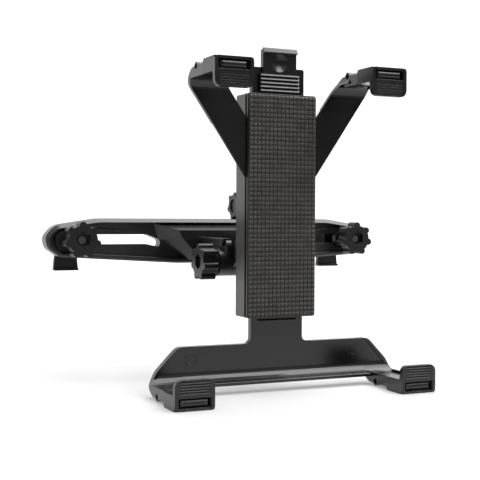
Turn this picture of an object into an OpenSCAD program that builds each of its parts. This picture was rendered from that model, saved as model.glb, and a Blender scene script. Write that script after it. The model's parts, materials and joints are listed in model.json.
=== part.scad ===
// Tablet holder that clamps to the two posts of a car headrest.
// +X is to the right seen from the rear seat, -Y is towards the tablet, +Z is up.
// The origin is on the back face of the cross bar, midway between the headrest posts.
// Pieces of the cradle are drawn in the column's own frame: its origin is at the bottom
// of the grip pad's face, on the middle line.

/* [Cross bar] */
// Overall length of the cross bar
bar_l = 243; // [225:1:270]
// Height of the bar near its ends
bar_h = 26; // [25:0.5:32]
// Extra depth of the bar's lower edge at the middle
bar_belly = 4.3; // [2:0.1:6]
// Front to back depth of the bar
bar_d = 12; // [11:0.5:15]
// Width of the raised rim round the bar's face
rim_w = 3; // [2:0.1:3.5]
// Depth of the face below the rim
tray_depth = 3.5; // [3:0.1:4]
// Thickness of the bar's face
bar_web = 3.5; // [2.5:0.1:4]
// Height of the two adjusting slots
slot_h = 6.6; // [5.6:0.1:8]
// Height of the slots' centre line from the bar's centre line
slot_z = -1; // [-2:0.1:1]
// Distance from the middle to a slot's outer end
slot_out = 106.6; // [104:0.2:110]
// Distance from the middle to a slot's inner end
slot_in = 42; // [38:0.5:60]
// How far the middle block stands forward of the face
block_out = 12; // [8:0.5:14]

/* [Post clamps] */
// Distance from the middle to a clamp bolt
clamp_x = 101; // [95:0.5:103]
// Diameter of the headrest posts
post_d = 12; // [10:0.5:14]
// Distance from a clamp bolt to its post
post_gap = 12; // [11:0.5:15]
// Thickness of the rubber post pads
post_pad_t = 1.5; // [1:0.1:2.5]
// Height of the hooks' bodies above their bolts
hook_up = 7.5; // [6.5:0.5:10]
// Depth of the hooks' bodies below their bolts
hook_down = 11; // [9:0.5:13]
// Reach of the finger tabs below the bolts
hook_tab = 21.5; // [18:0.5:26]
// Diameter of the clamp and tilt bolts
bolt_d = 5; // [4:0.5:6]
// Width across the flats of nuts and bolt heads
hex_af = 8; // [7:0.5:9]

/* [Star knobs] */
// Diameter over the lobes
knob_d = 23.8; // [20:0.2:26]
// Length of a knob
knob_l = 11; // [9:0.5:13]
// Number of lobes
knob_lobes = 7; // [5:1:9]
// Diameter of the small knob on the swivel
lock_knob_d = 17.4; // [13:0.2:17.6]

/* [Tilt hinge and swivel] */
// Distance from the bar's back to the hinge axis
tilt_y = 57; // [54:0.5:60]
// Depth of the hinge axis below the bar's centre line
tilt_drop = 14.7; // [13:0.1:16]
// Radius of the hinge knuckles
knuckle_r = 9.1; // [8:0.1:9.5]
// Width of the cradle's hinge knuckle
knuckle_w = 26; // [22:0.5:30]
// Thickness of a hinge ear
ear_t = 3.6; // [3:0.1:5]
// Length of the round boss outside an ear
boss_l = 4.6; // [3:0.1:6]
// Outer radius of the swivel socket
socket_r = 14.5; // [14:0.5:16]
// Radius of the swivel spindle
spindle_r = 10.5; // [9:0.5:11]

/* [Column] */
// Width of the padded column
column_w = 45.8; // [42:0.2:50]
// Height of the padded column
column_h = 135; // [125:1:150]
// Depth of the padded column
column_d = 17.7; // [16.5:0.1:20]
// Height of the column's bottom below the bar's centre line
column_drop = 46.3; // [40:0.1:50]
// Distance from the bar's back to the grip pad's face
column_y = 110; // [108:0.5:115]
// Thickness of the grip pad
pad_t = 1.2; // [1:0.1:1.6]
// Thickness of the front cover
cover_t = 1.3; // [1.2:0.1:1.6]
// Wall of the rear housing
shell_t = 2.2; // [1.8:0.1:2.6]

/* [Upper arms] */
// Angle of the arms from the column
arm_angle = 34.4; // [33:0.2:42]
// Width of an arm
arm_w = 20.4; // [17:0.2:21]
// Distance from the middle to an arm's pivot
pivot_x = 11.5; // [11.3:0.1:13]
// Height of the arm pivots
pivot_z = 85.3; // [80:0.5:90]
// Distance from the middle to an upper claw's centre
upper_claw_x = 49.9; // [47:0.1:54]
// Height of the arms' top face
arm_top = 147.4; // [144:0.2:155]

/* [Foot] */
// Width of the sliding stem
stem_w = 35; // [31:0.5:36]
// Thickness of the stem and the foot plate
stem_t = 4; // [3:0.1:4.2]
// Pitch of the detent grooves
rack_pitch = 2.3; // [2:0.1:3]
// Height of the foot plate's top edge from the column's bottom
foot_top = -15.9; // [-20:0.1:-14]
// Distance from the middle to a lower claw's centre
lower_claw_x = 72.4; // [68:0.1:80]
// Height of the lower tongues' underside
foot_base = -43; // [-50:0.2:-42]

/* [Claws] */
// Distance from the grip pad's face to a claw's face
claw_reach = 40; // [34:0.5:46]
// Width of a claw cap
claw_w = 23.6; // [22:0.2:26]
// Height of a claw's face
claw_h = 17; // [15:0.2:20]
// Length of the sleeve behind a claw's face
sleeve_l = 15; // [10:0.5:18]
// Wall of the sleeve
sleeve_t = 1.7; // [1.4:0.1:2.2]
// Width of a tongue
tongue_w = 18.4; // [16:0.2:20]
// Thickness of a tongue
tongue_t = 5; // [4:0.1:5.6]

/* [Fits] */
// Radial gap of a turning or sliding fit
run_gap = 0.05; // [0.02:0.01:0.1]
// Gap between pieces that pass each other
gap = 0.3; // [0.2:0.05:0.5]
// Gap round a loosely held piece
loose = 0.1; // [0.05:0.05:0.2]

/* [Hidden] */
$fn = 40;
half_l = bar_l / 2;
half_h = bar_h / 2;
tray_y = -bar_d + tray_depth;
bolt_r = bolt_d / 2;
hex_r = hex_af / sqrt(3);
post_y = post_d / 2 + 0.15;
jaw_front = -bar_d - 5;
washer_t = 1;
knob_back = jaw_front - washer_t - 2 * loose;
nut_t = 4;
nut_y = knob_back - knob_l + 3.4;
hook_back = post_y + post_d / 2 + post_pad_t + 4.5;
lip_x = 0.6 * (post_d / 2 + post_pad_t);
head_t = 3.4;
tilt_z = -tilt_drop;
ear_in = knuckle_w / 2 + gap;
ear_out = ear_in + ear_t;
boss_out = ear_out + boss_l;
shelf_z = 0.5;
cover_y = pad_t + cover_t;
arm_y = cover_y + 0.2;
arm_pad_t = 1.8;
arm_t = 2.8;
stem_y = arm_y + arm_t + 1.4;
band_y = stem_y - 2.6;
tab_y = stem_y - 2.1;
boss_r = 5;
tongue_end = -claw_reach + 0.4;
core_r = 1.7;
leg_w = 20.5;
screw_x = column_w / 2 - 3.3;
screw_z = [8, 66, column_h - 4];
rack_n = floor((column_h + 11.6 + 4) / rack_pitch);
rack_top = column_h + 11.6;
detent_n = round((rack_top - 36) / rack_pitch);
detent_z = rack_top - (detent_n + 0.5) * rack_pitch;
swivel_z = column_h / 2;
hub_t = 2.4;
socket_y = column_d + hub_t + gap;
socket_back = socket_y + 11;
lock_tip = spindle_r + loose;
lock_out = socket_r + 0.5;
lock_l = 5.7;
hub_r = 15;
hub_screw_x = 12.7;
recess = 3;

// Corner of an outline at b, between a and c, rounded to radius r with n steps
function unit(v) = v / norm(v);
function corner(a, b, c, r, n) =
    let (u = unit(a - b), w = unit(c - b), half = acos(u * w) / 2, d = r / tan(half),
         m = b + unit(u + w) * r / sin(half), s = b + u * d - m, e = b + w * d - m,
         a0 = atan2(s.y, s.x), turn = (atan2(e.y, e.x) - a0 + 540) % 360 - 180)
    [for (i = [0 : n]) m + r * [cos(a0 + turn * i / n), sin(a0 + turn * i / n)]];

// Outline through points [x, y, r], each corner rounded to its own r, or sharp where r is 0
function rounded(p, n = 6) = let (k = len(p))
    [for (i = [0 : k - 1]) let (a = p[(i + k - 1) % k], b = p[i], c = p[(i + 1) % k])
        each b.z == 0 ? [[b.x, b.y]] : corner([a.x, a.y], [b.x, b.y], [c.x, c.y], b.z, n)];

// The same points and their mirror image, as one closed outline about the line x = 0
function both_sides(p) =
    concat(p, [for (i = [len(p) - 1 : -1 : 0]) if (p[i].x != 0) [-p[i].x, p[i].y, p[i].z]]);

// Rectangle with rounded corners
function slab(x0, x1, y0, y1, r) =
    rounded([[x0, y0, r], [x1, y0, r], [x1, y1, r], [x0, y1, r]], 4);

// Thin strip of thickness t along a path, to the path's right
function strip(p, t) = let (k = len(p) - 1, dir = [for (i = [0 : k - 1]) unit(p[i + 1] - p[i])],
        side = [for (i = [0 : k]) let (a = dir[max(i - 1, 0)], b = dir[min(i, k - 1)], m = unit(a + b))
            [-m.y, m.x] / (m * b)])
    concat(p, [for (i = [k : -1 : 0]) p[i] + t * side[i]]);

// Extrusion of an outline in X and Z from y0 to y1
module in_y(y0, y1) {
    translate([0, y1, 0]) rotate([90, 0, 0]) linear_extrude(y1 - y0) children();
}

// Extrusion of an outline in Y and Z from x0 to x1
module in_x(x0, x1) {
    translate([x0, 0, 0]) rotate([90, 0, 90]) linear_extrude(x1 - x0) children();
}

// Cylinder along Y or X
module rod_y(r, y0, y1, fn = $fn) {
    translate([0, y1, 0]) rotate([90, 0, 0]) cylinder(r = r, h = y1 - y0, $fn = fn);
}
module rod_x(r, x0, x1, fn = $fn) {
    translate([x0, 0, 0]) rotate([0, 90, 0]) cylinder(r = r, h = x1 - x0, $fn = fn);
}

// From the column's frame to the bar's
module cradle() {
    translate([0, -column_y, -column_drop]) children();
}

// On one side: 1 is the right-hand side, -1 the left
module side(s) {
    if (s > 0) children();
    else mirror([1, 0, 0]) children();
}

// Bar: outlines of its face and slots, grown inwards or outwards by g
function bar_outline(g) = rounded(both_sides([
    [half_l - 35.5, half_h - g, 45], [half_l - 7 - g / 2, half_h - 4.4 - 0.9 * g, 12 - g],
    [half_l - g, 1, 7 - g], [half_l - 1.5 - g, -half_h / 2, 7 - g],
    [half_l - 9.5 - 0.6 * g, 0.7 - half_h + 0.8 * g, 9 - g], [half_l - 26.5, g - half_h - 0.4, 30],
    [30, g - half_h - bar_belly, 60]]));
function slot_outline(g) = let (t = slot_z + slot_h / 2 + g, b = slot_z - slot_h / 2 - g)
    rounded([[slot_out + g, t, slot_h / 2 + g - 0.1], [slot_out + g, b, slot_h / 2 + g - 0.1],
             [slot_in + 9.5, b, 4], [slot_in + 0.5 - g, b - 2 - g / 2, 2],
             [slot_in - 0.7 - g, slot_z - 0.8, 3], [slot_in + 9.5 - g / 2, t, 6]]);

module headrest_bar() {
    rib_w = 1.6;
    back_y = tray_y + bar_web;
    color("#232324") difference() {
        union() {
            difference() {
                in_y(-bar_d, 0) polygon(bar_outline(0));
                in_y(-bar_d - 1, tray_y) polygon(bar_outline(rim_w));
                in_y(back_y, 1) difference() {
                    polygon(bar_outline(rim_w));
                    for (s = [-1, 1]) scale([s, 1]) polygon(slot_outline(2.4));
                    for (s = [-1, 1], x = [22, 62, 84]) translate([s * x - rib_w / 2, -half_h * 2])
                        square([rib_w, bar_h * 2]);
                    square([12, bar_h * 2], center = true);
                }
            }
            middle_block();
            for (s = [-1, 1]) side(s) hinge_ear();
        }
        for (s = [-1, 1]) side(s) in_y(-bar_d * 2, 1) polygon(slot_outline(0));
        translate([0, -tilt_y, tilt_z]) rod_x(bolt_r + run_gap, -boss_out - 1, boss_out + 1);
        translate([0, -tilt_y, tilt_z]) rod_x(hex_r, boss_out - head_t, boss_out + 1, 6);
    }
}

// Sloping block that carries the hinge ears
module middle_block() {
    front = tray_y - block_out;
    hull() {
        in_y(tray_y - 0.1, tray_y + 1) polygon([[-46.5, 9.7], [-43, -1.5], [-25, -15.5], [25, -15.5],
                                              [43, -1.5], [46.5, 9.7]]);
        in_y(front, front + 1) polygon([[-33, 5.3], [-30.5, 0.5], [-17, -14], [17, -14],
                                      [30.5, 0.5], [33, 5.3]]);
    }
}

// Ear on the block, with its shelf, gusset and round boss
module hinge_ear() {
    block_y = tray_y - block_out + 2;
    ear = rounded([[block_y, shelf_z, 0], [-tilt_y - 8, shelf_z, 6],
                   [-tilt_y - 9.1, tilt_z, 0], [-tilt_y, tilt_z - knuckle_r, 0],
                   [-tilt_y + 13, tilt_z - knuckle_r + 3, 12], [block_y, -13, 0]]);
    in_x(ear_in, ear_out) polygon(ear);
    in_x(ear_in, ear_out + 1.6) polygon([[block_y, shelf_z], [-tilt_y - 6, shelf_z],
                                         [-tilt_y - 3, shelf_z - 4.6], [block_y, shelf_z - 1.6]]);
    translate([0, -tilt_y, tilt_z]) rod_x(knuckle_r, ear_in, boss_out);
}

// Star knob along Y, its back at y = 0. Its nut is moulded in behind a round recess at the front.
module star_knob(d, len, lobes, hex, pocket, bore) {
    lobe_r = d * 0.096;
    difference() {
        union() {
            in_y(-len, -1.2) {
                circle(r = d * 0.4);
                for (i = [0 : lobes - 1]) rotate(i * 360 / lobes + 90)
                    translate([d / 2 - lobe_r, 0]) circle(r = lobe_r, $fn = 20);
            }
            rod_y(d * 0.3, -2, 0);
        }
        rod_y(bore, -len - 1, 1);
        rod_y(d * 0.155, -len - 1, recess - len);
        rod_y(hex, recess - len, pocket, 6);
    }
}

// Hexagonal nut along Y from y0 to y1
module hex_nut(y0, y1) {
    difference() {
        rod_y(hex_r - loose / 2, y0, y1, 6);
        rod_y(bolt_r + run_gap, y0 - 1, y1 + 1);
    }
}

// Clamp pieces are drawn about the right-hand bolt
module at_clamp(s) {
    side(s) translate([clamp_x, 0, slot_z]) children();
}

module jaw(s) {
    top = half_h - rim_w - 2.4;
    end = half_l - rim_w - clamp_x - 3.5;
    color("#1f1f20") at_clamp(s) difference() {
        union() {
            in_y(jaw_front + 3.6, tray_y - loose) polygon(rounded([
                [end, top - 3, 5], [end, 1.2 - top, 5], [-9, -top, 6], [-9, top, 6]]));
            rod_y(7.4, jaw_front, tray_y - 1);
        }
        rod_y(bolt_r + loose, -bar_d * 3, 1);
    }
}

module hook(s) {
    r = post_d / 2 + post_pad_t;
    color("#1b1b1c") at_clamp(s) difference() {
        union() {
            translate([0, 0, -hook_down]) linear_extrude(hook_down + hook_up) polygon(rounded([
                [8, gap, 0.5], [8, hook_back - 3, 3], [5, hook_back, 2], [-post_gap - 1, hook_back, 5],
                [-post_gap - lip_x, post_y + r + 1, 1.2], [-post_gap - lip_x, gap, 0]]));
            in_y(hook_back - 3.4, hook_back) polygon([
                [-7.4, 1 - hook_down], [-8.4, 1 - hook_tab], [8.4, 1 - hook_tab], [7.4, 1 - hook_down]]);
            in_y(hook_back - 5, hook_back) polygon(slab(-8.4, 8.4, -hook_tab, 1.6 - hook_tab, 0.6));
        }
        translate([-post_gap, post_y, 0]) cylinder(r = r, h = hook_down * 4, center = true);
        rod_y(bolt_r + run_gap, -1, hook_back + 1);
        rod_y(hex_r, hook_back - head_t, hook_back + 1, 6);
    }
}

module post_pad(s) {
    h = hook_up + hook_down - 2;
    color("#2c2b2a") at_clamp(s) translate([-post_gap, post_y, 1 - hook_down]) mirror([1, 0, 0]) difference() {
        cylinder(r = post_d / 2 + post_pad_t - 0.02, h = h);
        translate([0, 0, -1]) cylinder(r = post_d / 2, h = h + 2);
        translate([lip_x - 0.3, -post_d, -1]) cube([post_d, post_d * 2, h + 2]);
        translate([0, -post_d, -1]) cube([post_d, post_d, h + 2]);
        translate([-post_d, -post_d - post_y + gap, -1]) cube([post_d * 2, post_d, h + 2]);
    }
}

module clamp_bolt(s) {
    color("silver") at_clamp(s) {
        rod_y(bolt_r, knob_back - knob_l + recess, hook_back - 1);
        rod_y(hex_r - loose / 2, hook_back - head_t, hook_back - 0.2, 6);
    }
}

module clamp_washer(s) {
    color("silver") at_clamp(s) difference() {
        rod_y(6, jaw_front - loose - washer_t, jaw_front - loose);
        rod_y(bolt_r + loose, -bar_d * 3, 1);
    }
}

module clamp_nut(s) {
    color("silver") at_clamp(s) hex_nut(nut_y, nut_y + nut_t);
}

module clamp_knob(s) {
    color("#1d1d1e") at_clamp(s) translate([0, knob_back, 0])
        star_knob(knob_d, knob_l, knob_lobes, hex_r, nut_y + nut_t - knob_back, bolt_r + loose);
}

// Bracket between the hinge and the swivel: socket, side-cut web and knuckle
module tilt_bracket() {
    y = -tilt_y;
    back = socket_back - column_y;
    front = socket_y - column_y;
    z = swivel_z - column_drop;
    color("#202021") difference() {
        union() {
            translate([0, 0, z]) rod_y(socket_r, front, back);
            in_x(-knuckle_w / 2, knuckle_w / 2) polygon(rounded([
                [front + 1, z + 2, 0], [back, z + 6, 0], [back, 4, 9], [y - 1, tilt_z + knuckle_r, 4],
                [y + 1, tilt_z, 0], [y, tilt_z - knuckle_r, 0], [front + 1, z - 22, 10]]));
            translate([0, y, tilt_z]) rod_x(knuckle_r, -knuckle_w / 2, knuckle_w / 2);
            translate([0, (front + back) / 2 + 1, z]) rod_x(4.4, -lock_out, -spindle_r);
        }
        translate([0, 0, z]) rod_y(spindle_r + run_gap, front - 1, back - 2.4);
        translate([0, 0, z]) rod_y(5, front - 1, back + 1);
        translate([0, y, tilt_z]) rod_x(bolt_r + run_gap, -knuckle_w, knuckle_w);
        translate([0, (front + back) / 2 + 1, z]) rod_x(2.5 + run_gap, -lock_out - 1, 0);
        in_x(-knuckle_w / 2 + 4, knuckle_w / 2 - 4) polygon(rounded([
            [back + 1, -4, 0], [back + 2, tilt_z + 3, 3], [y + knuckle_r + 4, tilt_z + knuckle_r - 6, 3],
            [y + knuckle_r + 4, 6, 0]]));
    }
}

module tilt_bolt() {
    color("silver") translate([0, -tilt_y, tilt_z]) {
        rod_x(bolt_r, recess - knob_l - boss_out - washer_t - 2 * loose, boss_out - 1);
        rod_x(hex_r - loose / 2, boss_out - head_t, boss_out - 0.2, 6);
    }
}

module tilt_washer() {
    color("silver") translate([0, -tilt_y, tilt_z]) difference() {
        rod_x(6.5, -boss_out - loose - washer_t, -boss_out - loose);
        rod_x(bolt_r + loose, -boss_out * 2, 0);
    }
}

// The tilt knob and its nut face left
module at_tilt_knob() {
    translate([-boss_out - washer_t - 2 * loose, -tilt_y, tilt_z]) rotate([0, 0, -90]) children();
}

module tilt_nut() {
    color("silver") at_tilt_knob() hex_nut(3.4 - knob_l, 3.4 - knob_l + nut_t);
}

module tilt_knob() {
    color("#1d1d1e") at_tilt_knob()
        star_knob(knob_d, knob_l, knob_lobes, hex_r, 3.4 - knob_l + nut_t, bolt_r + loose);
}

module swivel_hub() {
    groove = 1.2;
    mid = (socket_y + socket_back) / 2 + 1;
    color("#262627") cradle() translate([0, 0, swivel_z]) difference() {
        union() {
            rod_y(hub_r, column_d, column_d + hub_t);
            rod_y(spindle_r, column_d, mid - groove);
            rod_y(spindle_r - 0.8, column_d, mid + groove);
            rod_y(spindle_r, mid + groove, socket_back - 2.4 - loose);
            rod_y(5 - run_gap, column_d, socket_back);
        }
        rod_y(1.6, column_d + 2, socket_back + 1);
        for (a = [45 : 90 : 315]) rotate([0, a, 0]) translate([hub_screw_x, 0, 0]) rod_y(1.2, column_d - 1, 30);
    }
}

module swivel_retainer() {
    color("silver") cradle() translate([0, 0, swivel_z]) difference() {
        rod_y(9, socket_back + loose, socket_back + loose + 1.2);
        rod_y(1.8, 0, socket_back * 2);
    }
}

module swivel_screw() {
    color("silver") cradle() translate([0, 0, swivel_z]) difference() {
        union() {
            rod_y(1.6, socket_back - 9, socket_back + 2);
            rod_y(3.4, socket_back + loose + 1.2, socket_back + loose + 3.4);
        }
        for (a = [0, 90]) rotate([0, a, 0]) translate([0, socket_back + loose + 3.4, 0])
            cube([3.6, 2.2, 0.8], center = true);
    }
}

module hub_screws() {
    color("silver") cradle() translate([0, 0, swivel_z]) for (a = [45 : 90 : 315])
        rotate([0, a, 0]) translate([hub_screw_x, 0, 0]) rod_y(1.1, column_d - shell_t, column_d + hub_t - 0.2, 24);
}

// The lock screw presses on the spindle from the left
module at_lock() {
    translate([0, (socket_y + socket_back) / 2 + 1 - column_y, swivel_z - column_drop]) children();
}

module swivel_lock_screw() {
    color("silver") at_lock() {
        rod_x(2.5, 1.4 - lock_out - gap - lock_l, -lock_tip);
        rod_x(1, -lock_tip - 1, -spindle_r + 0.8 - loose);
    }
}

module swivel_lock_knob() {
    color("#1d1d1e") at_lock() translate([-lock_out - gap, 0, 0]) rotate([0, 0, -90]) difference() {
        in_y(-lock_l, 0) {
            circle(r = lock_knob_d * 0.39);
            for (i = [0 : 5]) rotate(i * 60 + 15) translate([lock_knob_d / 2 - 1.7, 0])
                circle(r = 1.7, $fn = 20);
        }
        rod_y(2.5 + run_gap, 1.3 - lock_l, 1);
        rod_y(4.2, -lock_l - 1, 0.9 - lock_l);
    }
}

// Rear shell of the column, open towards the cover
module housing_back() {
    half = column_w / 2;
    inner = half - shell_t;
    arm_back = arm_y + arm_pad_t + 0.3;
    color("#2b2b2c") cradle() difference() {
        union() {
            difference() {
                in_y(arm_back, column_d) polygon(slab(-half, half, 0, column_h, 1.2));
                in_y(cover_y, arm_back) polygon(slab(0.9 - half, half - 0.9, 0, column_h, 1.2));
                in_y(0, column_d - shell_t) polygon(slab(-inner, inner, shell_t, column_h - shell_t, 0.8));
            }
            for (s = [-1, 1], z = screw_z) translate([s * screw_x, 0, z])
                rod_y(2.3, cover_y + 2.6, column_d - 1, 24);
            for (s = [-1, 1]) in_y(stem_y + stem_t + 0.2, column_d - 1)
                translate([s * 12 - 0.8, shell_t - 0.5]) square([1.6, column_h - 2 * shell_t + 1]);
        }
        in_y(stem_y - 0.2, stem_y + stem_t + 0.2) translate([-stem_w / 2 - 0.2, -1])
            square([stem_w + 0.4, column_h + 2]);
        in_y(band_y - 0.2, stem_y) translate([-13.3, column_h - 9]) square([26.6, 20]);
        for (s = [-1, 1]) side(s) in_y(0, arm_back) polygon([[inner - 2, pivot_z - 9.5],
            [half + 1, pivot_z - 10.5], [half + 1, column_h - 5], [inner - 2, column_h - 5]]);
        for (s = [-1, 1], z = screw_z) translate([s * screw_x, 0, z]) {
            rod_y(1.1, 0, column_d + 1, 24);
            rod_y(2.1, column_d - 1.6, column_d + 1, 24);
            rod_y(2.1, 0, cover_y + 2.6, 24);
        }
        translate([0, 0, swivel_z]) for (a = [45 : 90 : 315]) rotate([0, a, 0])
            translate([hub_screw_x, 0, 0]) rod_y(1.1, column_d - shell_t - 5, column_d + 1, 24);
    }
}

// Front cover with the arms' pivot bosses and the screw bosses
module housing_front() {
    half = column_w / 2;
    color("#262627") cradle() difference() {
        union() {
            in_y(pad_t, cover_y - 0.02) polygon(slab(-half, half, 0, column_h, 1.2));
            for (s = [-1, 1]) translate([s * pivot_x, 0, pivot_z]) {
                rod_y(boss_r, pad_t, arm_y + arm_pad_t + 0.05);
            }
            for (s = [-1, 1], z = screw_z) translate([s * screw_x, 0, z])
                rod_y(2, pad_t, cover_y + 2.5, 24);
        }
        for (s = [-1, 1]) translate([s * pivot_x, 0, pivot_z]) rod_y(1.5, pad_t + 0.6, 20, 24);
        for (s = [-1, 1], z = screw_z) translate([s * screw_x, 0, z]) rod_y(0.9, pad_t + 0.6, 20, 24);
        translate([0, 0, detent_z + 21]) rod_y(0.9, pad_t + 0.6, 20, 24);
    }
}

module grip_pad() {
    half = column_w / 2 - 0.4;
    color("#3a3836") cradle() in_y(0, pad_t) polygon(slab(-half, half, 0.4, column_h - 0.4, 1));
}

module housing_screws() {
    color("silver") cradle() for (s = [-1, 1], z = screw_z) translate([s * screw_x, 0, z]) {
        rod_y(0.9, cover_y - 0.4, column_d - 1, 24);
        rod_y(2, column_d - 1.6, column_d - 0.3, 24);
    }
}

// Plate of thickness t that bends forward into a tongue, in Y and Z: the bend's outer face is at
// z = 0, the plate rises from it with its front at y = 0
function bend_profile(t, rise, bend) = rounded([[t, rise, 0], [t, 0, bend], [-14, 0, 0],
    [-14, tongue_t, 0], [0, tongue_t, 7], [0, rise, 0]], 8);

// Tongue in front of such a bend, with side lips and the bead round the bend's cored hole
module tongue(w, bend, end, bead_z) {
    intersection() {
        in_x(-tongue_w / 2, tongue_w / 2) polygon(rounded([[-10, 0, 0], [end, 0, 2.3],
            [end, tongue_t, 2.3], [-10, tongue_t, 0]], 6));
        linear_extrude(tongue_t) polygon(rounded([[-tongue_w / 2, -8, 0], [-tongue_w / 2, end, 3],
            [tongue_w / 2, end, 3], [tongue_w / 2, -8, 0]], 6));
    }
    for (s = [-1, 1]) side(s) in_x(w / 2 - 1.7, w / 2) polygon([[-2.5, 3], [-9, 0.2],
        [end + 18.3, 0], [end + 18.3, tongue_t + 1.4], [-2.5, tongue_t + 1.4]]);
    translate([0, -bend, bead_z]) rod_x(core_r + 0.9, -w / 2, w / 2);
}

// Upper arm: a flat bar from its pivot to the bend that carries the claw
module arm(s) {
    u = [sin(arm_angle), cos(arm_angle)];
    v = [cos(arm_angle), -sin(arm_angle)];
    pivot = [pivot_x, pivot_z];
    r = arm_w / 2;
    outer_low = pivot + v * r;
    inner_low = pivot - v * r;
    bend = 11;
    head_in = upper_claw_x - leg_w / 2;
    head_out = upper_claw_x + leg_w / 2;
    shape = [[outer_low.x, outer_low.y, 0],
             [head_out, outer_low.y + (head_out - outer_low.x) * u.y / u.x, 12],
             [head_out, arm_top + 5, 0], [head_in, arm_top + 5, 0],
             [head_in, inner_low.y + (head_in - inner_low.x) * u.y / u.x, 6],
             [inner_low.x, inner_low.y, 0]];
    rim = 1.3;
    color("#1a1a1b") cradle() side(s) difference() {
        union() {
            in_y(arm_y, arm_y + arm_pad_t) {
                intersection() {
                    polygon(rounded(shape));
                    square([leg_w * 4, arm_top - 12]);
                }
                translate(pivot) circle(r = r);
            }
            intersection() {
                in_y(-16, arm_y + arm_t) polygon(rounded([for (p = shape)
                    (p.y < pivot_z + r) ? [p.x + u.x * 44, p.y + u.y * 44, p.z] : p]));
                translate([0, arm_y, arm_top]) mirror([0, 0, 1])
                    in_x(0, leg_w * 4) polygon(bend_profile(arm_t, 60, bend));
            }
            translate([upper_claw_x, arm_y, arm_top]) mirror([0, 0, 1])
                tongue(leg_w, bend, tongue_end - arm_y, 0.5);
        }
        in_y(arm_y - 1, arm_y + 0.6) difference() {
            polygon([outer_low + u * 46, [head_out, arm_top - 14], [head_in, arm_top - 14],
                     inner_low + u * 46]);
            for (e = [outer_low - v * rim, inner_low]) translate(e) rotate(-arm_angle)
                translate([-0.01, -20]) square([rim, 200]);
        }
        translate([upper_claw_x, arm_y - bend, arm_top - 0.5]) rod_x(core_r, -leg_w, leg_w, 24);
        translate([pivot_x, 0, pivot_z]) rod_y(boss_r + run_gap, 0, 20);
    }
}

module arm_washer(s) {
    y = arm_y + arm_pad_t + 0.07;
    color("silver") cradle() side(s) translate([pivot_x, 0, pivot_z]) difference() {
        rod_y(7.5, y, y + 0.4);
        rod_y(1.7, 0, 20, 24);
    }
}

module arm_screw(s) {
    y = arm_y + arm_pad_t + 0.5;
    color("silver") cradle() side(s) translate([pivot_x, 0, pivot_z]) {
        rod_y(1.5, pad_t + 0.8, y + 0.5, 24);
        rod_y(3.2, y, y + 0.8, 24);
    }
}

// Outline of the stem, the plate and its legs
function foot_outline() = let (half = stem_w / 2, leg_out = lower_claw_x + leg_w / 2)
    rounded(both_sides([[half, column_h + 16.5, 1.2], [half, foot_top, 3.4],
        [leg_out - 18, foot_top, 7], [leg_out - 5, foot_top - 13.5, 10],
        [leg_out, foot_base + tongue_t, 5], [leg_out, foot_base - 5, 0], [0, foot_base - 5, 0]]));

// Foot: stem with the detent grooves and finger tab, plate, ledge and two legs
module foot() {
    leg_in = lower_claw_x - leg_w / 2;
    leg_out = lower_claw_x + leg_w / 2;
    plate_low = foot_base + tongue_t;
    ledge = 9;
    bend = 14;
    color("#19191a") cradle() difference() {
        union() {
            in_y(stem_y, stem_y + stem_t) intersection() {
                polygon(foot_outline());
                translate([-leg_out, foot_base + bend]) square([2 * leg_out, column_h * 2]);
            }
            in_y(band_y, stem_y + 0.1) translate([-13, column_h + 1.5]) square([26, 11]);
            finger_tab();
            in_x(-leg_in, leg_in) polygon(rounded([[stem_y + stem_t, plate_low + 16, 0],
                [stem_y + stem_t, plate_low - 1.4, 4], [stem_y - ledge, plate_low - 1.4, 0.8],
                [stem_y - ledge, plate_low + 0.8, 0.6], [stem_y, plate_low + 0.8, 6],
                [stem_y, plate_low + 16, 0]], 8));
            for (s = [-1, 1]) side(s) {
                intersection() {
                    in_y(stem_y - 16, stem_y + stem_t + 1) polygon(foot_outline());
                    translate([0, stem_y, foot_base])
                        in_x(leg_in, leg_out) polygon(bend_profile(stem_t, bend + 2, bend));
                }
                translate([lower_claw_x, stem_y, foot_base])
                    tongue(leg_w, bend, tongue_end - stem_y, 1.3);
            }
            foot_rim();
        }
        for (i = [0 : rack_n - 1]) translate([0, i * rack_pitch > 10.5 ? stem_y : band_y,
                rack_top - (i + 0.75) * rack_pitch])
            in_x(-13.1, 13.1) polygon([[-0.3, -0.3], [0.9, 0.9], [0.9, 1.2], [-0.3, 1.2]]);
        for (s = [-1, 1]) translate([s * lower_claw_x, stem_y - bend, foot_base + 1.3])
            rod_x(core_r, -leg_w, leg_w, 24);
    }
}

// Finger tab above the stem: a dished plate under a lip
module finger_tab() {
    dish_r = 13.2;
    difference() {
        in_y(tab_y, stem_y + 1.4) polygon(slab(-11.3, 11.3, column_h + 10, column_h + 27.6, 1));
        translate([0, tab_y + 1.2 - dish_r, column_h + 19.3]) sphere(r = dish_r, $fn = 48);
    }
    translate([0, tab_y, column_h + 24.8]) in_x(-11.2, 11.2)
        polygon(rounded([[1.2, 0, 0], [1.2, 3.3, 0.6], [-0.9, 3.3, 0.7], [-2.4, 0, 0.5]]));
}

// Raised bead along the plate's top edge and slanting ends
module foot_rim() {
    half = stem_w / 2;
    leg_out = lower_claw_x + leg_w / 2;
    bead = 1.5;
    path = [[half + 5, foot_top, 1], [leg_out - 18, foot_top, 7], [leg_out - 5, foot_top - 13.5, 10],
            [leg_out - 2.2, foot_top - 18.3, 0.5]];
    inner = [for (i = [3 : -1 : 0]) [path[i].x - (i > 1 ? bead * 1.25 : i == 1 ? bead * 0.6 : 0),
                                     path[i].y - (i < 3 ? bead : 0), max(path[i].z - bead, 0.5)]];
    for (s = [-1, 1]) side(s) in_y(stem_y - 0.7, stem_y + 1) polygon(rounded(concat(path, inner)));
}

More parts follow.
